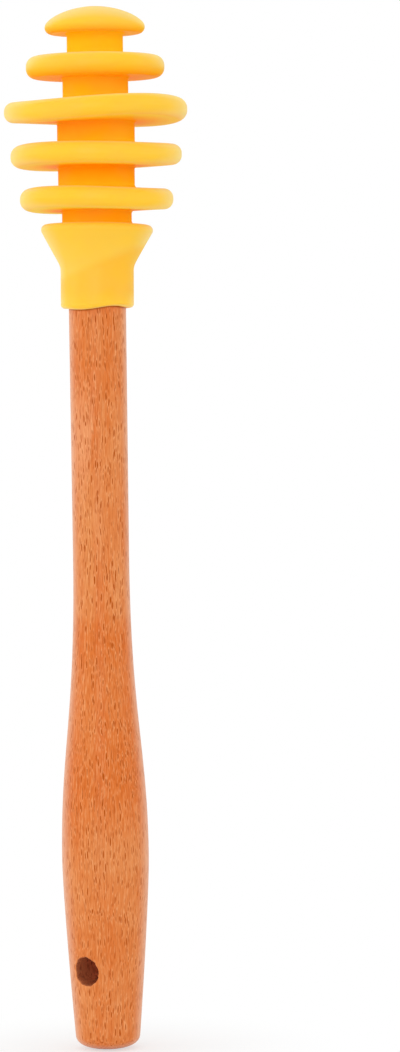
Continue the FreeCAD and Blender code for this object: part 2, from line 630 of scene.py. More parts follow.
@dataclass(frozen=True)
class BeechFinish:
    """Oiled beech, with its colours and the strength of its marks."""

    ACROSS = (1.0, 1.0, 0.0)             # takes the height out of a place

    name: str
    body: Rgb = (223, 134, 73)
    blush: Rgb = (215, 104, 26)          # redder heartwood
    honey: Rgb = (224, 141, 80)          # paler, yellower wood
    painted_bore_light: Rgb = (222, 132, 88)           # painted light deep inside a bore, lighter towards its middle
    ray: Rgb = (177, 76, 0)
    pore: Rgb = (164, 64, 0)
    pale: Rgb = (255, 190, 132)
    sheen: Rgb = (240, 194, 166)         # painted sheen: paler colour where the skin is seen at a flat angle
    line: Rgb = (172, 90, 0)             # painted shade at the silicone lip
    ray_strength: float = 1.0
    fine_strength: float = 0.75
    pore_strength: float = 1.0
    grip_pore_share: float = 0.6         # share of that on the swell
    pore_low: float = 60.0               # heights between which the pores grow stronger
    pore_high: float = 105.0
    pale_strength: float = 0.3
    fibre_strength: float = 0.42
    pale_fibre_strength: float = 0.25
    fibre_mean: float = 0.5              # level between the dark and the pale fibres
    fibre_reach: float = 0.25            # how far from it they have their full strength
    bands: Mottle = Mottle(across=3.2, along=60.0, low=0.36, high=0.66)
    band_strength: float = 0.6
    clouds: Mottle = Mottle(across=7.0, along=26.0, low=0.38, high=0.62)
    cloud_strength: float = 0.6
    wander: float = 0.7
    lip_shade_strength: float = 0.95
    grip_low: float = 36.0               # the palm has darkened the wood between these heights
    grip_high: float = 85.5
    grip_fade: float = 14.0              # height over which that begins below
    grip_edge: float = 3.0               # height over which it ends above
    grip_strength: float = 0.5
    stains: tuple[Stain, ...] = (
        Stain(middle=136.0, reach=9.0, strength=0.4),
        Stain(middle=123.0, reach=17.0, strength=0.7, tint=(231, 152, 102), side=-157.0, twist=0.93,
              softness=0.14),
        Stain(middle=109.0, reach=16.0, strength=0.45, side=23.5),
        Stain(middle=82.0, reach=6.0, strength=0.5),
        Stain(middle=54.0, reach=13.0, strength=0.4),
        Stain(middle=32.0, reach=9.0, strength=0.35, side=-20.0),
        Stain(middle=22.0, reach=9.0, strength=0.35),
    )
    painted_bore_light_reach: float = 0.0              # distance from the middle plane over which the painted light of a bore fades
    roughness: float = 0.52
    dent_roughness: float = 0.12         # added in the marks
    gloss: float = 0.3                   # thin lacquer, which leaves the marks dull
    gloss_roughness: float = 0.3
    sheen_share: float = 0.65
    sheen_start: float = 0.3
    sheen_end: float = 0.9
    dent_sheen: float = 0.5              # share of the painted sheen that the marks keep
    relief: float = 0.06                 # depth of the marks
    relief_strength: float = 0.5

    def material(self) -> bpy.types.Material:
        """Builds the node material.

        Returns:
            The material.
        """
        made, sheet = NodeSheet.material(self.name)
        grain = sheet.group(SurfaceEffects.beech_grain(), {"Wander": self.wander})
        dents = sheet.math("ADD", grain["Rays"], grain["Pores"])
        place = sheet.place_mm()
        height = sheet.axes(place)["Z"]
        shade = self.marked(sheet, self.wood_colour(sheet, place, height), grain, height)
        # painted shade where the lip meets the wood
        line = sheet.ease(sheet.mask(Mask.LINE), 0.0, 1.0, 0.0, self.lip_shade_strength)
        shade = sheet.mix(line, shade, linear(self.line))
        # painted sheen: pale colour mixed in where the skin is seen at a flat angle
        flat = sheet.ease(sheet.facing(), self.sheen_start, self.sheen_end, 0.0, self.sheen_share)
        smooth = sheet.ease(dents, 0.0, 1.0, 1.0, self.dent_sheen)
        shade = sheet.mix(sheet.times(flat, smooth), shade, linear(self.sheen))
        level = sheet.math("SUBTRACT", grain["Fibres"], dents)
        sheet.surface({
            "Base Color": shade,
            "Roughness": sheet.math("ADD", sheet.times(dents, self.dent_roughness), self.roughness),
            "Normal": sheet.relief(level, self.relief_strength, self.relief),
            "Coat Weight": sheet.ease(dents, 0.0, 1.0, self.gloss, 0.0) if self.gloss else 0.0,
            "Coat Roughness": self.gloss_roughness,
        })
        return made

    def wood_colour(self, sheet: NodeSheet, place: Socket, height: Socket) -> Socket:
        """Colour of the wood under its marks.

        Args:
            sheet: sheet of the material.
            place: place on the handle, in millimetres.
            height: its height.

        Returns:
            Cloudy body colour, with paler bands, the darkened grip, the stains and painted bore light.
        """
        begun = sheet.ease(height, self.grip_low, self.grip_low + self.grip_fade, 0.0, self.grip_strength)
        ended = sheet.ease(height, self.grip_high, self.grip_high + self.grip_edge)
        layers = (
            (sheet.times(self.clouds.mask(sheet), self.cloud_strength), self.blush),
            (sheet.times(self.bands.mask(sheet), self.band_strength), self.honey),
            (sheet.times(begun, sheet.rest(ended)), self.blush),
        )
        shade = linear(self.body)
        for share, tint in layers:
            shade = sheet.mix(share, shade, linear(tint))
        for stain in self.stains:
            away = sheet.math("ABSOLUTE", sheet.math("SUBTRACT", height, stain.middle))
            share = sheet.ease(away, 0.0, stain.reach, stain.strength, 0.0)
            if stain.side is not None:
                share = sheet.times(share, self.on_side(sheet, place, height, stain))
            shade = sheet.mix(share, shade, linear(stain.tint))
        # painted light: the wood of a bore is lighter towards its middle
        if self.painted_bore_light_reach:
            depth = sheet.math("ABSOLUTE", sheet.axes(place)["Y"])
            shade = sheet.mix(sheet.ease(depth, 0.0, self.painted_bore_light_reach, 1.0, 0.0), shade, linear(self.painted_bore_light))
        return shade

    def marked(self, sheet: NodeSheet, shade: Socket, grain: Sockets, height: Socket) -> Socket:
        """Draws the marks and fibres on the wood.

        Args:
            sheet: sheet of the material.
            shade: colour of the wood.
            grain: masks of the marks.
            height: height on the handle, in millimetres.

        Returns:
            Colour of the wood with them.
        """
        on_swell = self.grip_pore_share * self.pore_strength
        pores = sheet.ease(height, self.pore_low, self.pore_high, on_swell, self.pore_strength)
        marks = (
            ("Pale Borders", self.pale, self.pale_strength),
            ("Fine Rays", self.ray, self.fine_strength),
            ("Rays", self.ray, self.ray_strength),
            ("Pores", self.pore, pores),
        )
        for mark, tint, strength in marks:
            shade = sheet.mix(sheet.times(grain[mark], strength), shade, linear(tint))
        darkest, palest = self.fibre_mean - self.fibre_reach, self.fibre_mean + self.fibre_reach
        dark = sheet.ease(grain["Fibres"], self.fibre_mean, darkest, 0.0, self.fibre_strength)
        light = sheet.ease(grain["Fibres"], self.fibre_mean, palest, 0.0, self.pale_fibre_strength)
        return sheet.mix(light, sheet.mix(dark, shade, linear(self.ray)), linear(self.pale))

    def on_side(self, sheet: NodeSheet, place: Socket, height: Socket, stain: Stain) -> Socket:
        """Share of a stain that keeps to one side.

        Args:
            sheet: sheet of the material.
            place: place on the handle, in millimetres.
            height: its height.
            stain: the stain.

        Returns:
            1 on the stain's side of the handle and 0 on the other.
        """
        outward = sheet.vector("NORMALIZE", sheet.vector("MULTIPLY", place, self.ACROSS))
        turn = sheet.times(sheet.math("SUBTRACT", stain.middle, height), math.radians(stain.twist))
        inputs = {"Vector": outward, "Angle": turn}
        turned = sheet.add("ShaderNodeVectorRotate", inputs, rotation_type="Z_AXIS").outputs[0]
        towards = sheet.vector("DOT_PRODUCT", turned, around(math.radians(stain.side)), "Value")
        return sheet.ease(towards, 0.0, stain.softness)


@dataclass(frozen=True)
class SiliconeFinish:
    """Satin moulded silicone that glows deeper where light is caught between the rings."""

    name: str
    body: Rgb = (255, 199, 50)
    painted_bounce: Rgb = (255, 233, 44)           # painted bounce light on the faces of the rings and the column between them
    caught: Rgb = (255, 158, 0)          # where light is caught under the rings
    sleeve_shade: Rgb = (255, 160, 64)      # painted shade on the sleeve below a slanted line
    painted_sheen: Rgb = (255, 224, 140)         # painted sheen: paler colour where the skin is seen at a flat angle
    painted_sheen_share: float = 0.6
    painted_sheen_start: float = 0.3
    painted_sheen_end: float = 0.85
    painted_sheen_tint_end: float = 0.35          # share of a warmer tint at which no painted sheen is left
    painted_sheen_groove: float = 0.6             # share of it that is left between the rings
    roughness: float = 0.5
    roughness_swing: float = 0.04        # change of it from cloud to cloud
    clouds: Mottle = Mottle(across=9.0, along=7.0, low=0.3, high=0.7)
    cloud_saturation: float = 0.985      # between the clouds, which have 1
    cloud_dark: float = 0.98             # brightness between the clouds
    cloud_light: float = 1.01            # and in them
    skin: Mottle = Mottle(across=0.28, along=0.28, low=0.2, high=0.8)
    relief: float = 0.03                 # depth of the skin's fine unevenness
    relief_strength: float = 0.12
    scatter: float = 0.25                # share of the light that travels inside
    scatter_depth: float = 1.0           # how far red light does
    scatter_colours: tuple[float, float, float] = (1.0, 0.42, 0.08)     # red, green and blue beside it
    gloss: float = 0.35                  # satin skin of the open faces
    gloss_end: float = 0.5               # depth in a groove where that skin no longer shines
    gloss_roughness: float = 0.3
    glint: float = 0.25                  # shine of the deeper skin, seen at a flat angle
    glint_start: float = 0.7
    shade_line_height: float = 158.1         # middle of the slanted line below which the sleeve has painted shade
    shade_line_side: float = 33.5            # side to which it rises
    shade_line_slope: float = 0.4
    shade_line_edge: float = 1.1             # half height over which the tints change there
    sleeve_tint: float = 0.15            # share of the painted shade on the sleeve
    sleeve_tint_side: float = 0.24       # and on the side to which the slanted line rises
    sleeve_turn: float = 3.0             # distance from the axis at which that is reached
    sleeve_low: float = 149.5            # heights between which the tint begins
    sleeve_high: float = 153.0
    flare_highlight: float = 0.12             # share of the painted highlight above the slanted line
    flare_reach: float = 7.0             # height over which that fades

    def material(self) -> bpy.types.Material:
        """Builds the node material.

        Returns:
            The material.
        """
        made, sheet = NodeSheet.material(self.name)
        groove, caught = sheet.mask(Mask.GROOVE), sheet.mask(Mask.CAUGHT)
        # painted shade on the sleeve below a slanted line, painted highlight on the flare above it
        sleeve, flare = self.shade_line(sheet)
        tinted = sheet.math("MAXIMUM", caught, sleeve)
        facing = sheet.facing()
        open_skin = sheet.ease(sheet.math("MAXIMUM", groove, tinted), 0.0, self.gloss_end, 1.0, 0.0)
        untinted = sheet.ease(tinted, 0.0, self.painted_sheen_tint_end, 1.0, 0.0)
        bare = sheet.times(untinted, sheet.ease(groove, 0.0, 1.0, 1.0, self.painted_sheen_groove))
        # painted sheen where the skin is seen at a flat angle
        painted_sheen = sheet.times(sheet.ease(facing, self.painted_sheen_start, self.painted_sheen_end, 0.0, self.painted_sheen_share), bare)
        edge_on = sheet.ease(facing, self.glint_start, 1.0, 0.0, self.glint)
        glint = sheet.times(edge_on, sheet.rest(open_skin))
        layers = (
            # painted bounce light between the rings
            (groove, self.painted_bounce),
            (caught, self.caught),
            # painted shade on the sleeve
            (sleeve, self.sleeve_shade),
            # painted sheen, and the painted highlight above the slanted line
            (sheet.math("MAXIMUM", painted_sheen, flare), self.painted_sheen),
        )
        colour = linear(self.body)
        for share, tint in layers:
            colour = sheet.mix(share, colour, linear(tint))
        clouds = self.clouds.mask(sheet)
        cloudy = sheet.add("ShaderNodeHueSaturation", {
            "Saturation": sheet.ease(clouds, 0.0, 1.0, self.cloud_saturation, 1.0),
            "Value": sheet.ease(clouds, 0.0, 1.0, self.cloud_dark, self.cloud_light),
            "Color": colour,
        })
        smoothest, roughest = self.roughness - self.roughness_swing, self.roughness + self.roughness_swing
        sheet.surface({
            "Base Color": cloudy.outputs[0],
            "Roughness": sheet.ease(clouds, 0.0, 1.0, smoothest, roughest),
            "Normal": sheet.relief(self.skin.mask(sheet), self.relief_strength, self.relief),
            "Coat Weight": sheet.math("ADD", sheet.times(open_skin, self.gloss), glint),
            "Coat Roughness": self.gloss_roughness,
            "Subsurface Weight": self.scatter,
            "Subsurface Radius": self.scatter_colours,
            "Subsurface Scale": self.scatter_depth * METRES_PER_MM,
        })
        return made

    def shade_line(self, sheet: NodeSheet) -> tuple[Socket, Socket]:
        """Painted shade and highlight on both sides of a slanted line round the collar.

        Args:
            sheet: sheet of the material.

        Returns:
            Share of the painted shade on the sleeve below, and of the painted highlight on the
            flare above.
        """
        across = around(math.radians(self.shade_line_side))
        place = sheet.place_mm()
        height = sheet.axes(place)["Z"]
        reach = sheet.vector("DOT_PRODUCT", place, across, "Value")
        level = sheet.vector("DOT_PRODUCT", place, UP - across * self.shade_line_slope, "Value")
        low, high = self.shade_line_height - self.shade_line_edge, self.shade_line_height + self.shade_line_edge
        below = sheet.ease(level, low, high, 1.0, 0.0)
        above_lip = sheet.ease(height, self.sleeve_low, self.sleeve_high)
        tint = sheet.ease(reach, 0.0, self.sleeve_turn, self.sleeve_tint, self.sleeve_tint_side)
        flare_top = self.shade_line_height + self.flare_reach
        # painted highlight above the slanted line, fading upwards
        fade = sheet.ease(height, self.shade_line_height, flare_top, self.flare_highlight, 0.0)
        return sheet.times(tint, sheet.times(below, above_lip)), sheet.times(fade, sheet.rest(below))


@dataclass(frozen=True)
class PushFit:
    """Joint of the two pieces: neck and tenon of the handle in the socket of the head."""

    lip_height: float = 149.0            # where the silicone begins
    neck_diameter: float = 11.5
    seat_depth: float = 15.0             # length of the neck inside the socket
    tenon_diameter: float = 8.0
    tenon_length: float = 30.0
    tenon_round: float = 1.2
    clearance: float = 0.08              # round the wood
    end_gap: float = 0.5                 # above the tenon

    @property
    def shoulder(self) -> float:
        """Height of the shoulder between the neck and the tenon."""
        return self.lip_height + self.seat_depth

    @property
    def tip(self) -> float:
        """Height of the tenon's tip."""
        return self.shoulder + self.tenon_length


@dataclass(frozen=True)
class Lip:
    """Lower edge of the silicone, which fingers have pulled out of true in two places."""

    rise: float = 0.3            # of the whole edge
    high: float = 0.4            # more, where it was pulled up
    high_side: float = -24.0
    high_width: float = 30.0
    low: float = 0.3             # less, where it was pulled down
    low_side: float = -86.0
    low_width: float = 34.0

    def wave(self, angle: float) -> float:
        """Rise of the edge above its moulded height.

        Args:
            angle: direction round the axis, in radians.

        Returns:
            The rise.
        """
        up = self.high * bump(angle, self.high_side, self.high_width)
        down = self.low * bump(angle, self.low_side, self.low_width)
        return self.rise + up - down


@dataclass(frozen=True)
class Nicks:
    """Even row of small tears round the rim of a hole."""

    depth: float
    count: int
    start: float                 # where the row begins, in radians of one tear


@dataclass
class HangHole:
    """Hanging hole drilled through the butt, with a rim that the drill has torn a little."""

    radius: float
    height: float
    rim_rounding: float = 0.3
    oval: float = 0.14           # how far the rim is stretched
    oval_side: float = 112.0
    nicks: tuple[Nicks, ...] = (
        Nicks(depth=0.05, count=9, start=0.6),
        Nicks(depth=0.04, count=16, start=2.1),
    )
    chip: float = 0.25           # depth of the one large tear
    chip_side: float = 212.0
    chip_width: float = 11.0
    window: float = 4.4          # half size of the patch of surface round each mouth
    patch_loops: int = 6
    patch_power: float = 0.7     # crowds the loops of the patch towards the rim
    rim_loops: int = 5
    side_loops: int = 2          # outer loops of the rim that still have the side's finish
    wall_loops: int = 14

    @classmethod
    def from_record(cls) -> "HangHole":
        """Takes the hole's size and place from the frame's mount."""
        mount = next(m for m in frame["record"]["mounts"] if m["name"] == "hang_hole")
        return cls(radius=mount["dims"]["r_mm"], height=mount["pos_m"][2] * MM_PER_METRE)

    def torn(self, turn: float) -> float:
        """How far the rim lies outside the drilled circle.

        Args:
            turn: direction round the hole's axis, in radians from +X towards +Z.

        Returns:
            The distance.
        """
        oval = self.oval * math.cos(2.0 * (turn - math.radians(self.oval_side)))
        nicks = sum(row.depth * math.sin(row.count * turn + row.start) for row in self.nicks)
        return oval + nicks + self.chip * bump(turn, self.chip_side, self.chip_width)


@dataclass
class Handle:
    """Turned beech handle: butt, swell, waist, neck and the hidden tenon."""

    fit: PushFit = PushFit()
    butt_diameter: float = 13.0
    crown_height: float = 2.7
    swell_diameter: float = 17.5
    swell_height: float = 39.1
    waist_diameter: float = 11.3
    waist_height: float = 98.8
    shoulder_round: float = 0.35
    flare_waist_share: float = 0.535     # handles of the curves, as shares of their spans
    flare_swell_share: float = 0.364
    taper_swell_share: float = 0.173
    taper_butt_share: float = 0.33
    taper_lean_share: float = 0.56
    crown_edge_share: float = 0.68
    crown_flat_share: float = 0.62
    crown_steps: int = 16
    taper_steps: int = 60
    flare_steps: int = 80
    segments: int = 192
    row_height: float = 0.7
    tenon_span: float = 2.0              # longest face along the tenon
    sharp_angle: float = 50.0
    hole: HangHole = field(default_factory=HangHole.from_record)
    lip: Lip = Lip()
    lip_shade_reach: float = 0.5              # height over which the painted shade at the lip fades
    lip_shade_zone: float = 1.6               # height on both sides of the lip with close rows
    lip_shade_rows: int = 28
    finish: BeechFinish = BeechFinish("turned_beech")
    # the drilled wood has painted light, lighter towards the middle of the bore
    bore_finish: BeechFinish = BeechFinish("drilled_beech", body=(184, 106, 68), blush=(166, 90, 56),
                                           honey=(190, 114, 74), ray=(130, 62, 38), pore=(116, 54, 32),
                                           pale=(194, 122, 82), roughness=0.7, relief=0.12,
                                           gloss=0.0, sheen_share=0.0, stains=(), painted_bore_light_reach=6.0)
    outline: list[Vector] = field(init=False)

    def __post_init__(self) -> None:
        """Works out the turned side once."""
        self.outline = self.side()

    def butt_and_lean(self) -> tuple[Vector, Vector]:
        """Start of the taper.

        Returns:
            Edge of the rounded end, and the curve's handle there.
        """
        butt = Vector((self.butt_diameter / 2.0, self.crown_height))
        step = (self.swell_diameter - self.butt_diameter) / 2.0
        rise = self.swell_height - self.crown_height
        return butt, butt + Vector((step * (1.0 - self.taper_lean_share), rise * self.taper_butt_share))

    def crown(self) -> list[Vector]:
        """Half section of the rounded end.

        Returns:
            Points from the tip out to the butt.
        """
        butt, lean = self.butt_and_lean()
        edge = butt + (butt - lean).normalized() * (self.crown_height * self.crown_edge_share)
        flat = Vector((butt.x * self.crown_flat_share, 0.0))
        return bezier((Vector((0.0, 0.0)), flat, edge, butt), self.crown_steps)

    def side(self) -> list[Vector]:
        """Half section of the turned side.

        Returns:
            Points from the butt over the swell and the waist to the shoulder.
        """
        butt, lean = self.butt_and_lean()
        swell = Vector((self.swell_diameter / 2.0, self.swell_height))
        waist = Vector((self.waist_diameter / 2.0, self.waist_height))
        taper = Vector((0.0, swell.y - butt.y))
        flare = Vector((0.0, waist.y - swell.y))
        swell_below = swell - taper * self.taper_swell_share
        swell_above = swell + flare * self.flare_swell_share
        waist_below = waist - flare * self.flare_waist_share
        lower = bezier((butt, lean, swell_below, swell), self.taper_steps)
        upper = bezier((swell, swell_above, waist_below, waist), self.flare_steps)
        neck = self.fit.neck_diameter / 2.0
        shoulder = self.fit.shoulder - self.shoulder_round
        return lower + upper[1:] + [Vector((neck, self.fit.lip_height)), Vector((neck, shoulder))]

    def radius_at(self, height: float) -> float:
        """Radius of the turned side.

        Args:
            height: where it is asked for.

        Returns:
            The radius.
        """
        for low, high in zip(self.outline, self.outline[1:]):
            if height <= high.y:
                return low.lerp(high, (height - low.y) / (high.y - low.y)).x
        return self.outline[-1].x

    def tenon(self) -> list[Vector]:
        """Half section of the tenon.

        Returns:
            Points from the shoulder to the tip.
        """
        fit = self.fit
        neck, tenon = fit.neck_diameter / 2.0, fit.tenon_diameter / 2.0
        corners = (
            Corner(neck, fit.lip_height),
            Corner(neck, fit.shoulder, self.shoulder_round),
            Corner(tenon, fit.shoulder),
            Corner(tenon, fit.tip, fit.tenon_round),
            Corner(0.0, fit.tip),
        )
        return spaced(rounded_path(corners)[1:], self.tenon_span)

    def row_heights(self) -> list[float]:
        """Heights of the rows of faces on the side.

        Returns:
            Even steps, with closer ones at the painted shade at the lip.
        """
        low, high, lip = self.outline[0].y, self.outline[-1].y, self.fit.lip_height
        rows = even_steps(low, high, round((high - low) / self.row_height))
        close = even_steps(lip - self.lip_shade_zone, lip + self.lip_shade_zone, self.lip_shade_rows)
        return sorted([z for z in rows if abs(z - lip) > self.lip_shade_zone] + close)

    def build(self) -> bpy.types.Object:
        """Makes the mesh: a lathe with a patch round each mouth of the hole.

        Returns:
            The handle.
        """
        draft = MeshDraft()
        angles = angles_round(self.segments)

        def turned(spot: Vector) -> list[int]:
            """Loop of vertices round the axis."""
            return draft.loop(around(angle, spot.x, spot.y) for angle in angles)

        heights = self.row_heights()
        section = self.tenon()
        crown = [turned(spot) for spot in self.crown()[1:-1]]
        draft.fan(crown[0], ORIGIN)
        rows = [turned(Vector((self.radius_at(z), z))) for z in heights]
        tenon = [turned(spot) for spot in section[1:-1]]
        draft.fan(tenon[-1], section[-1].y * UP)
        for lower, upper in zip(crown, crown[1:] + rows[:1]):
            draft.band(lower, upper)
        for lower, upper in zip([rows[-1]] + tenon, tenon):
            draft.band(lower, upper)
        self.join_rows(draft, rows, heights)
        piece = draft.piece("turned_handle", self.sharp_angle)
        write_mask(piece, Mask.LINE, [self.lip_shade_share(vertex.co) for vertex in piece.data.vertices])
        return piece

    def lip_shade_share(self, place: Vector) -> float:
        """Strength of the shade that is painted on the wood at the lip's edge.

        Args:
            place: place on the handle, in metres.

        Returns:
            1 at the lip's edge, falling to 0 above and below.
        """
        spot = place * MM_PER_METRE
        edge = self.fit.lip_height + self.lip.wave(math.atan2(spot.y, spot.x))
        return held(1.0 - abs(spot.z - edge) / self.lip_shade_reach)

    def join_rows(self, draft: MeshDraft, rows: list[list[int]], heights: list[float]) -> None:
        """Joins the rows of the side, and patches the two mouths of the hole.

        Args:
            draft: mesh of the handle.
            rows: loops of vertices from the butt up.
            heights: their heights.
        """
        hole = self.hole
        inside = [i for i, z in enumerate(heights) if abs(z - hole.height) <= hole.window]
        first, last = inside[0], inside[-1]
        half = round(hole.window / (FULL_TURN * self.radius_at(hole.height) / self.segments))
        skipped: set[int] = set()
        mouths = []
        for mouth in Mouth:
            middle = round(self.segments * mouth.turn)
            columns = [(middle - mouth.value * step) % self.segments for step in range(-half, half + 1)]
            skipped.update(columns[1:] if mouth is Mouth.BACK else columns[:-1])
            bottom = [rows[first][c] for c in columns]
            right = [rows[i][columns[-1]] for i in range(first + 1, last)]
            top = [rows[last][c] for c in reversed(columns)]
            left = [rows[i][columns[0]] for i in range(last - 1, first, -1)]
            mouths.append(self.mouth(draft, bottom + right + top + left, mouth))
        for i, (lower, upper) in enumerate(zip(rows, rows[1:])):
            for c in range(self.segments):
                if first <= i < last and c in skipped:
                    continue
                d = (c + 1) % self.segments
                draft.face((lower[c], lower[d], upper[d], upper[c]))
        self.bore(draft, *mouths)

    def mouth(self, draft: MeshDraft, border: list[int], mouth: Mouth) -> list[int]:
        """Fills the patch between a window in the side and the hole's rim.

        Args:
            draft: mesh of the handle.
            border: vertices round the window.
            mouth: which end of the hole.

        Returns:
            The loop at the inner end of the rounded rim.
        """
        hole = self.hole
        window = [(draft.spots[v].x, draft.spots[v].z - hole.height) for v in border]
        turns = [math.atan2(z, x) for x, z in window]

        def sunk(x: float, z: float, depth: float) -> Vector:
            """Place at a depth below the turned side."""
            radius = self.radius_at(z + hole.height)
            return Vector((x, mouth.value * (math.sqrt(radius * radius - x * x) - depth), z + hole.height))

        loop = border
        for step in range(1, hole.patch_loops + 1):
            share = (step / hole.patch_loops) ** hole.patch_power
            spots = []
            for (x, z), turn in zip(window, turns):
                rim = hole.radius + hole.rim_rounding + hole.torn(turn)
                x_inside = between(x, rim * math.cos(turn), share)
                z_inside = between(z, rim * math.sin(turn), share)
                spots.append(sunk(x_inside, z_inside, 0.0))
            loop = draft.grow(loop, spots)
        for step in range(1, hole.rim_loops + 1):
            lean = QUARTER_TURN * step / hole.rim_loops
            depth = hole.rim_rounding * (1.0 - math.cos(lean))
            spots = []
            for turn in turns:
                rim = hole.radius + hole.torn(turn) + hole.rim_rounding * (1.0 - math.sin(lean))
                spots.append(sunk(rim * math.cos(turn), rim * math.sin(turn), depth))
            face = WoodFace.BORE if step > hole.side_loops else WoodFace.SIDE
            loop = draft.grow(loop, spots, face.value)
        return loop

    def bore(self, draft: MeshDraft, front: list[int], back: list[int]) -> None:
        """Joins the two mouths with the drilled wall.

        Args:
            draft: mesh of the handle.
            front: inner loop of the front mouth.
            back: inner loop of the back mouth.
        """
        loop = front
        for step in range(1, self.hole.wall_loops):
            share = step / self.hole.wall_loops
            spots = [draft.spots[a].lerp(draft.spots[b], share) for a, b in zip(front, back)]
            loop = draft.grow(loop, spots, WoodFace.BORE.value)
        draft.band(loop, back, WoodFace.BORE.value)

    def dress(self, piece: bpy.types.Object) -> None:
        """Gives the piece its finishes and its place on the frame.

        Args:
            piece: the handle.
        """
        piece.data.materials.append(self.finish.material())
        piece.data.materials.append(self.bore_finish.material())
        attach(piece, Body.HANDLE.value)
        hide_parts(Node.HANDLE.value)


@dataclass(frozen=True)
class Ring:
    """One ring of the head, with the column that rises from it and how it is bent."""

    diameter: float
    column_above: float
    roll: float = 0.0            # rise of the rim at the right of its worn side
    saddle: float = 0.0          # rise and fall twice round the rim, rising to the right there
    lift: float = 0.0            # rise of the whole rim
    swell: float = 0.0           # how far each face stands out beyond the mould's
    glow: float = 0.0            # light caught under the ring


@dataclass(frozen=True)
class GrooveTints:
    """How the tints of caught light spread over the rings, the column and the cap."""

    cap_glow: float = 0.6            # light caught under the cap
    groove_glow: float = 0.38        # and at the lower end of each column
    groove_power: int = 2            # how fast both fade from the column towards a rim
    under_power: int = 3             # how fast the light under a ring fades
    inner_power: int = 5             # how fast the painted bounce light at the column fades
    top_deep: float = 0.65           # share of the painted bounce light on the upper faces
    face_start: float = 0.6          # where a face begins to have it, in roundings of the rim
    face_fade: float = 0.8           # and how much further in it has all of it
    edge_least: float = 0.18         # light caught at a lower edge
    edge_most: float = 0.6           # and where the ring below is much wider
    edge_step: float = 5.0           # how much wider that is
    edge_spread: float = 0.06        # share of the rim that it climbs, for each millimetre of that
    edge_power: float = 3.0          # how fast it fades up the rim
    edge_soften: float = 0.3         # how much more slowly, for each millimetre of that
    cap_edge_reach: float = 1.5      # how far it climbs the cap, in heights of the cap's side
    cap_edge_power: float = 1.2
    cap_deepening: float = 4.0       # how fast the painted bounce light begins under the cap

    def edge_glow(self, step: float) -> float:
        """Light caught at a lower edge, more where the ring below is wider by a step."""
        return between(self.edge_least, self.edge_most, step / self.edge_step)


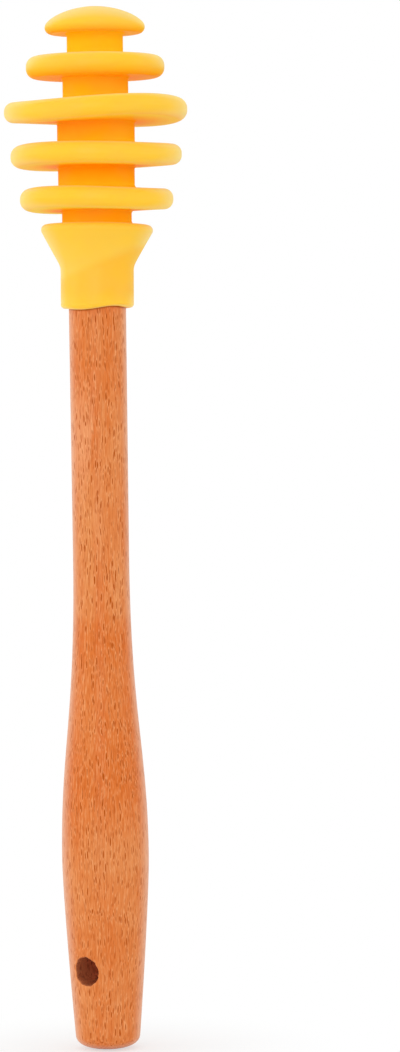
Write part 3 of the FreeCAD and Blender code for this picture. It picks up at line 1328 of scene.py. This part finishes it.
@dataclass
class Head:
    """Moulded silicone head: collar, column, four rings and domed cap round a stepped socket."""

    SOCKET_MASKS = (1.0, 1.0)            # inside the socket all light is caught
    OPEN_MASKS = (0.0, 0.0)              # on the open skin none is

    fit: PushFit = PushFit()
    lip: Lip = Lip()
    collar_height: float = 17.1
    collar_diameter: float = 24.0
    flare_height: float = 8.4
    collar_round: float = 1.1
    collar_roll: float = -0.3            # rise of the collar's rim at the right of the worn side
    collar_lift: float = 0.1             # rise of the whole rim
    collar_saddle: float = 0.16          # rise of the rim at the worn side and the far side
    sleeve_wall: float = 1.52
    sleeve_blend: float = 3.5
    lip_outer_share: float = 0.62        # roundings of the lip, as shares of the wall
    lip_inner_share: float = 0.12
    lip_flat_share: float = 1.2          # from the bore to a place on the lip's flat, in inner roundings
    ring_pitch: float = 8.87
    ring_root: float = 4.5
    ring_rim: float = 4.1
    rim_round_share: float = 0.46
    root_fillet: float = 0.7
    lower_groove: float = 2.75
    upper_groove: float = 4.34
    collar_column: float = 14.0
    rings: tuple[Ring, ...] = (
        Ring(30.8, 15.4, roll=-0.04, saddle=-0.36, glow=0.8),
        Ring(34.4, 15.6, roll=0.12, saddle=-0.30, lift=-0.1, glow=1.0),
        Ring(36.8, 13.2, roll=0.14, saddle=0.52, glow=0.88),
        Ring(27.8, 11.3, swell=0.1, lift=-0.1, glow=0.66),
    )
    tints: GrooveTints = GrooveTints()
    cap_diameter: float = 20.1
    cap_height: float = 5.5
    cap_dome_share: float = 0.75
    cap_edge_share: float = 0.92
    dome_crown_share: float = 0.52
    dome_side_share: float = 0.39
    dome_steps: int = 28
    worn_side: float = -56.5             # direction that the bends of the rings are counted from
    lean_side: float = 33.5              # way that the soft column leans
    lean_low: float = 0.16               # at the collar
    lean_high: float = 0.28              # at the cap
    lip_fade: float = 4.0                # height over which the lip's waves die out
    segments: int = 240
    span: float = 0.8                    # longest face along the outside
    socket_span: float = 1.6             # and along the socket
    sharp_angle: float = 60.0
    finish: SiliconeFinish = SiliconeFinish("honey_silicone")
    collar_top: float = field(init=False)
    lowest_ring: float = field(init=False)
    cap_under: float = field(init=False)
    cap_top: float = field(init=False)

    def __post_init__(self) -> None:
        """Works out the heights that follow from the sizes."""
        self.collar_top = self.fit.lip_height + self.collar_height
        self.lowest_ring = self.collar_top + self.lower_groove + self.ring_root / 2.0
        highest_ring = self.lowest_ring + self.ring_pitch * (len(self.rings) - 1)
        self.cap_under = highest_ring + self.ring_root / 2.0 + self.upper_groove
        self.cap_top = self.cap_under + self.cap_height

    @property
    def neck_bore(self) -> float:
        """Radius of the socket round the neck."""
        return self.fit.neck_diameter / 2.0 + self.fit.clearance

    @property
    def lip_inner_round(self) -> float:
        """Rounding of the lip at the neck."""
        return self.sleeve_wall * self.lip_inner_share

    @property
    def rim_round(self) -> float:
        """Rounding of the rims of the rings."""
        return self.ring_rim * self.rim_round_share

    @property
    def lip_flat(self) -> Corner:
        """Place on the lip where the socket and the outside meet."""
        return Corner(self.neck_bore + self.lip_inner_round * self.lip_flat_share, self.fit.lip_height)

    def socket(self) -> list[Vector]:
        """Half section of the socket.

        Returns:
            Points from the blind end down to the lip.
        """
        fit = self.fit
        tenon = fit.tenon_diameter / 2.0 + fit.clearance
        end = fit.tip + fit.end_gap
        corners = (
            Corner(0.0, end),
            Corner(tenon, end, fit.tenon_round),
            Corner(tenon, fit.shoulder),
            Corner(self.neck_bore, fit.shoulder),
            Corner(self.neck_bore, fit.lip_height, self.lip_inner_round),
            self.lip_flat,
        )
        return spaced(rounded_path(corners), self.socket_span)

    def outside(self) -> list[Vector]:
        """Half section of the outside.

        Returns:
            Points from the lip to the top of the cap.
        """
        sleeve = self.neck_bore + self.sleeve_wall
        corners = [
            self.lip_flat,
            Corner(sleeve, self.fit.lip_height, self.sleeve_wall * self.lip_outer_share),
            Corner(sleeve, self.collar_top - self.flare_height, self.sleeve_blend),
            Corner(self.collar_diameter / 2.0, self.collar_top, self.collar_round),
            Corner(self.collar_column / 2.0, self.collar_top, self.root_fillet),
        ]
        column, middle = self.collar_column, self.lowest_ring
        for ring in self.rings:
            corners += self.ring_corners(ring, column, middle)
            column, middle = ring.column_above, middle + self.ring_pitch
        cap_radius = self.cap_diameter / 2.0
        dome_height = self.cap_height * self.cap_dome_share
        side = Corner(cap_radius, self.cap_top - dome_height)
        corners += [
            Corner(column / 2.0, self.cap_under, self.root_fillet),
            Corner(cap_radius, self.cap_under, (self.cap_height - dome_height) * self.cap_edge_share),
            side,
        ]
        straight_on = side.spot + Vector((0.0, dome_height * self.dome_side_share))
        flat = Vector((cap_radius * self.dome_crown_share, self.cap_top))
        top = Vector((0.0, self.cap_top))
        dome = bezier((side.spot, straight_on, flat, top), self.dome_steps)
        return spaced(rounded_path(corners), self.span) + dome[1:]

    def ring_corners(self, ring: Ring, column_below: float, middle: float) -> list[Corner]:
        """Corners of one ring.

        Args:
            ring: the ring.
            column_below: diameter of the column below it.
            middle: height of its middle.

        Returns:
            The corners from the column below round the rim to the column above.
        """
        return [
            Corner(column_below / 2.0, middle - self.ring_root / 2.0, self.root_fillet),
            Corner(ring.diameter / 2.0, middle - self.ring_rim / 2.0, self.rim_round),
            Corner(ring.diameter / 2.0, middle + self.ring_rim / 2.0, self.rim_round),
            Corner(ring.column_above / 2.0, middle + self.ring_root / 2.0, self.root_fillet),
        ]

    def ring_bend(self, spot: Vector, angle: float) -> float:
        """Rise of a point of a bent ring or of the collar's rim.

        Args:
            spot: the point in the half section.
            angle: its direction round the axis, in radians.

        Returns:
            The rise, which grows from the column to the rim.
        """
        right = angle - math.radians(self.worn_side)
        if spot.y <= self.collar_top + TOUCH:
            root, rim = self.collar_column / 2.0, self.collar_diameter / 2.0
            share = held(1.0 - (self.collar_top - spot.y) / self.flare_height)
            bend = self.collar_roll * math.sin(right) + self.collar_saddle * math.cos(2.0 * right)
            return (self.collar_lift + bend) * share * held((spot.x - root) / (rim - root))
        number = round((spot.y - self.lowest_ring) / self.ring_pitch)
        middle = self.lowest_ring + number * self.ring_pitch
        if not 0 <= number < len(self.rings) or abs(spot.y - middle) > self.ring_root / 2.0:
            return 0.0
        ring = self.rings[number]
        root, rim = ring.column_above / 2.0, ring.diameter / 2.0
        bend = ring.lift + ring.roll * math.sin(right) + ring.saddle * math.sin(2.0 * right)
        swell = ring.swell * held(2.0 * (spot.y - middle) / self.ring_rim, -1.0, 1.0)
        return (bend + swell) * held((spot.x - root) / (rim - root))

    def lip_wave(self, height: float, angle: float) -> float:
        """Rise of a point near the lip, which follows the lip's wave."""
        return held(1.0 - (height - self.fit.lip_height) / self.lip_fade) ** 2 * self.lip.wave(angle)

    def sway(self, height: float) -> float:
        """How far the soft head leans.

        Args:
            height: where it is asked for.

        Returns:
            The distance from the axis.
        """
        if height > self.collar_top:
            rise = held((height - self.collar_top) / (self.cap_top - self.collar_top))
            return between(self.lean_low, self.lean_high, rise)
        return self.lean_low * held((height - self.fit.lip_height) / self.collar_height)

    def masks(self, spot: Vector) -> tuple[float, float]:
        """Tints of a point of the outside.

        Args:
            spot: the point in the half section.

        Returns:
            Share of the painted bounce light between the rings, and share of the orange of caught light.
        """
        if spot.y < self.collar_top - TOUCH:
            return self.OPEN_MASKS
        if spot.y > self.cap_under - TOUCH:
            return self.cap_masks(spot)
        number = (spot.y - self.lowest_ring) / self.ring_pitch
        nearest = round(held(number, 0, len(self.rings) - 1))
        middle = self.lowest_ring + nearest * self.ring_pitch
        if abs(spot.y - middle) < self.ring_root / 2.0 + TOUCH:
            return self.ring_masks(spot, nearest, middle)
        return self.column_masks(spot, number)

    def column_masks(self, spot: Vector, number: float) -> tuple[float, float]:
        """Tints of a point of the column.

        Args:
            spot: the point in the half section.
            number: its height, counted in rings from the lowest.

        Returns:
            The same shares as for any point.
        """
        below = math.floor(number)
        rim, root = self.collar_diameter / 2.0, self.collar_column / 2.0
        if below >= 0:
            rim, root = self.rings[below].diameter / 2.0, self.rings[below].column_above / 2.0
        depth = 1.0 - held((spot.x - root) / (rim - root))
        glows = [ring.glow for ring in self.rings] + [self.tints.cap_glow]
        ring_share = self.ring_root / self.ring_pitch
        rise = held((number - below - ring_share / 2.0) / (1.0 - ring_share))
        glow = between(self.tints.groove_glow, glows[below + 1], rise)
        return depth, depth ** self.tints.groove_power * glow

    def ring_masks(self, spot: Vector, number: int, middle: float) -> tuple[float, float]:
        """Tints of a point of a ring.

        Args:
            spot: the point in the half section.
            number: number of the ring, from the lowest.
            middle: height of the ring's middle.

        Returns:
            The same shares as for any point.
        """
        tints, ring = self.tints, self.rings[number]
        radius = ring.diameter / 2.0
        depth = held((radius - spot.x) / (radius - ring.column_above / 2.0))
        inner = depth ** tints.inner_power
        face = held(((radius - spot.x) / self.rim_round - tints.face_start) / tints.face_fade)
        wider = self.rings[number - 1].diameter if number > 0 else self.collar_diameter
        step = held(wider - ring.diameter, 0.0, tints.edge_step)
        spread = self.ring_rim * tints.edge_spread * step
        drop = held((middle + spread - spot.y) / (self.ring_rim / 2.0 + spread))
        edge = tints.edge_glow(step) * drop ** (tints.edge_power - tints.edge_soften * step)
        if spot.y > middle:
            return max(inner, face * tints.top_deep), between(edge, tints.groove_glow, inner)
        return max(inner, face), between(edge, ring.glow, depth ** tints.under_power)

    def cap_masks(self, spot: Vector) -> tuple[float, float]:
        """Tints of a point of the cap.

        Args:
            spot: the point in the half section.

        Returns:
            The same shares as for any point.
        """
        tints, highest = self.tints, self.rings[-1]
        edge = tints.edge_glow(held(highest.diameter - self.cap_diameter, 0.0, tints.edge_step))
        if spot.y > self.cap_under + TOUCH:
            reach = self.cap_height * (1.0 - self.cap_dome_share) * tints.cap_edge_reach
            drop = held(1.0 - (spot.y - self.cap_under) / reach)
            return 0.0, edge * drop ** tints.cap_edge_power
        root = highest.column_above / 2.0
        depth = 1.0 - held((spot.x - root) / (self.cap_diameter / 2.0 - root))
        glow = between(edge, tints.cap_glow, depth ** tints.groove_power)
        return held(depth * tints.cap_deepening), glow

    def build(self) -> bpy.types.Object:
        """Makes the mesh: a lathe of the closed half section, bent as the soft head is.

        Returns:
            The head.
        """
        draft = MeshDraft()
        shares: list[tuple[float, float]] = []
        lean = around(math.radians(self.lean_side))
        angles = angles_round(self.segments)
        inner, outer = self.socket(), self.outside()[1:]
        loops = []
        for number, spot in enumerate(inner[1:] + outer[:-1]):
            soft = number >= len(inner) - 1
            sway = lean * self.sway(spot.y)
            spots = []
            for angle in angles:
                place = around(angle, spot.x, spot.y + self.lip_wave(spot.y, angle))
                if soft:
                    place += UP * self.ring_bend(spot, angle) + sway
                spots.append(place)
            loops.append(draft.loop(spots))
            shares += [self.masks(spot) if soft else self.SOCKET_MASKS] * self.segments
        for lower, upper in zip(loops, loops[1:]):
            draft.band(lower, upper)
        draft.fan(loops[0], inner[0].y * UP)
        draft.fan(loops[-1], outer[-1].y * UP + lean * self.lean_high)
        shares += [self.SOCKET_MASKS, self.OPEN_MASKS]
        piece = draft.piece("silicone_dipper", self.sharp_angle)
        for mask, values in zip((Mask.GROOVE, Mask.CAUGHT), zip(*shares)):
            write_mask(piece, mask, values)
        return piece

    def dress(self, piece: bpy.types.Object) -> None:
        """Gives the piece its finish and its place on the frame.

        Args:
            piece: the head.
        """
        piece.data.materials.append(self.finish.material())
        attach(piece, Body.HEAD.value)
        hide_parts(Node.HEAD.value)


@dataclass(frozen=True)
class Softbox:
    """Square studio lamp aimed at the middle of the dipper."""

    name: str
    azimuth: float               # counted from -Y towards +X
    elevation: float
    distance: float              # metres
    size: float                  # metres
    level: float                 # brightness that it gives a white card facing it


@dataclass
class Studio:
    """Plain white studio with soft light, and the camera at the photograph's angle."""

    aim_height: float = 105.0
    azimuth: float = 33.45               # of the camera, from -Y towards +X
    camera_distance: float = 851.0
    camera_height: float = 132.0
    camera_side: float = 20.0            # the dipper stands left of the middle of the picture
    pitch: float = 1.80
    roll: float = 0.80
    lens: float = 144.75
    sensor: float = 36.0
    clip_start: float = 0.01             # metres
    ambient: float = 0.82
    bounces: int = 16                    # light finds its way into the deep grooves
    floor_radius: float = 3.0            # metres
    floor_sides: int = 64
    floor_sharp_angle: float = 30.0
    floor_colour: Rgb = (246, 246, 246)
    shadow_inner: float = 0.006          # metres from the axis, where the floor shows its shadow
    shadow_outer: float = 0.05
    shadow_fade: float = 0.6             # share of white that lies over the shadow even there
    softboxes: tuple[Softbox, ...] = (
        Softbox("key_softbox", azimuth=25.0, elevation=10.0, distance=1.6, size=1.0, level=0.20),
        Softbox("left_softbox", azimuth=-55.0, elevation=15.0, distance=1.6, size=1.2, level=0.18),
        Softbox("right_softbox", azimuth=115.0, elevation=10.0, distance=1.6, size=1.2, level=0.12),
        Softbox("top_softbox", azimuth=30.0, elevation=75.0, distance=1.5, size=1.0, level=0.06),
    )

    def build_lights(self) -> None:
        """Hangs the softboxes round the dipper."""
        aim = UP * self.aim_height * METRES_PER_MM
        for box in self.softboxes:
            lamp = bpy.data.lights.new(box.name, "AREA")
            lamp.size = box.size
            lamp.energy = box.level * (math.pi * box.distance) ** 2
            made = bpy.data.objects.new(box.name, lamp)
            rise = math.radians(box.elevation)
            back = around(math.radians(box.azimuth) - QUARTER_TURN, math.cos(rise), math.sin(rise))
            made.location = aim + back * box.distance
            made.rotation_euler = (-back).to_track_quat("-Z", "Y").to_euler()
            bpy.context.scene.collection.objects.link(made)

    def background_share(self, sheet: NodeSheet) -> Socket:
        """Tells the rays that show the background to the camera from those that light the dipper.

        Args:
            sheet: sheet of the floor or of the surroundings.

        Returns:
            1 for rays from the camera, straight, reflected or through glass.
        """
        path = sheet.add("ShaderNodeLightPath").outputs
        seen = sheet.math("MAXIMUM", path["Is Camera Ray"], path["Is Glossy Ray"])
        return sheet.math("MAXIMUM", seen, path["Is Transmission Ray"])

    def build_world(self) -> None:
        """Makes the white surroundings, dimmer as a lamp than as a backdrop."""
        world = bpy.data.worlds.new("white_studio")
        world.use_nodes = True
        sheet = NodeSheet(world.node_tree)
        strength = sheet.ease(self.background_share(sheet), 0.0, 1.0, self.ambient, 1.0)
        glow = sheet.add("ShaderNodeBackground", {"Color": WHITE, "Strength": strength})
        sheet.close(glow.outputs[0], "ShaderNodeOutputWorld")
        bpy.context.scene.world = world

    def build_floor(self) -> None:
        """Lays the pale floor, which fades into the white backdrop away from the dipper."""
        draft = MeshDraft()
        edge = self.floor_radius * MM_PER_METRE
        draft.fan(draft.loop(around(angle, edge) for angle in angles_round(self.floor_sides)), ORIGIN)
        floor = draft.piece("studio_floor", self.floor_sharp_angle)
        material, sheet = NodeSheet.material("pale_floor")
        geometry = sheet.add("ShaderNodeNewGeometry").outputs
        away = sheet.vector("LENGTH", geometry["Position"], result="Value")
        far = sheet.ease(away, self.shadow_inner, self.shadow_outer, self.shadow_fade, 1.0)
        share = sheet.times(far, self.background_share(sheet))
        card = sheet.add("ShaderNodeBsdfDiffuse", {"Color": linear(self.floor_colour)}).outputs[0]
        white = sheet.add("ShaderNodeEmission", {"Color": WHITE, "Strength": 1.0}).outputs[0]
        front = sheet.add("ShaderNodeMixShader", {0: share, 1: card, 2: white}).outputs[0]
        clear = sheet.add("ShaderNodeBsdfTransparent").outputs[0]
        both = sheet.add("ShaderNodeMixShader", {0: geometry["Backfacing"], 1: front, 2: clear})
        sheet.close(both.outputs[0])
        floor.data.materials.append(material)

    def build_camera(self) -> None:
        """Sets the camera at the photograph's angle."""
        right, dip = around(math.radians(self.azimuth)), math.radians(self.pitch)
        back = right.cross(UP)
        forward = -back * math.cos(dip) - UP * math.sin(dip)
        level = Matrix((right, right.cross(forward), -forward)).transposed()
        lens = bpy.data.cameras.new("camera")
        lens.lens = self.lens
        lens.sensor_width = self.sensor
        lens.clip_start = self.clip_start
        camera = bpy.data.objects.new("camera", lens)
        place = back * self.camera_distance + right * self.camera_side + UP * self.camera_height
        tilt = Matrix.Rotation(math.radians(self.roll), 3, forward) @ level
        camera.matrix_world = Matrix.Translation(place * METRES_PER_MM) @ tilt.to_4x4()
        bpy.context.scene.collection.objects.link(camera)
        bpy.context.scene.camera = camera

    def build(self) -> None:
        """Sets up the light, the surroundings and the camera."""
        self.build_lights()
        self.build_world()
        self.build_floor()
        self.build_camera()
        bpy.context.scene.view_settings.view_transform = "Standard"
        bpy.context.scene.cycles.max_bounces = self.bounces
        bpy.context.scene.cycles.diffuse_bounces = self.bounces


def main() -> None:
    """Builds and dresses the dipper, then sets up the studio."""
    logging.basicConfig(level=logging.INFO, format="%(name)s: %(message)s")
    for part in (Handle(), Head()):
        piece = part.build()
        part.dress(piece)
        mesh = piece.data
        LOG.info("%s: %d vertices, %d faces", piece.name, len(mesh.vertices), len(mesh.polygons))
    Studio().build()


if __name__ == "__main__":
    main()
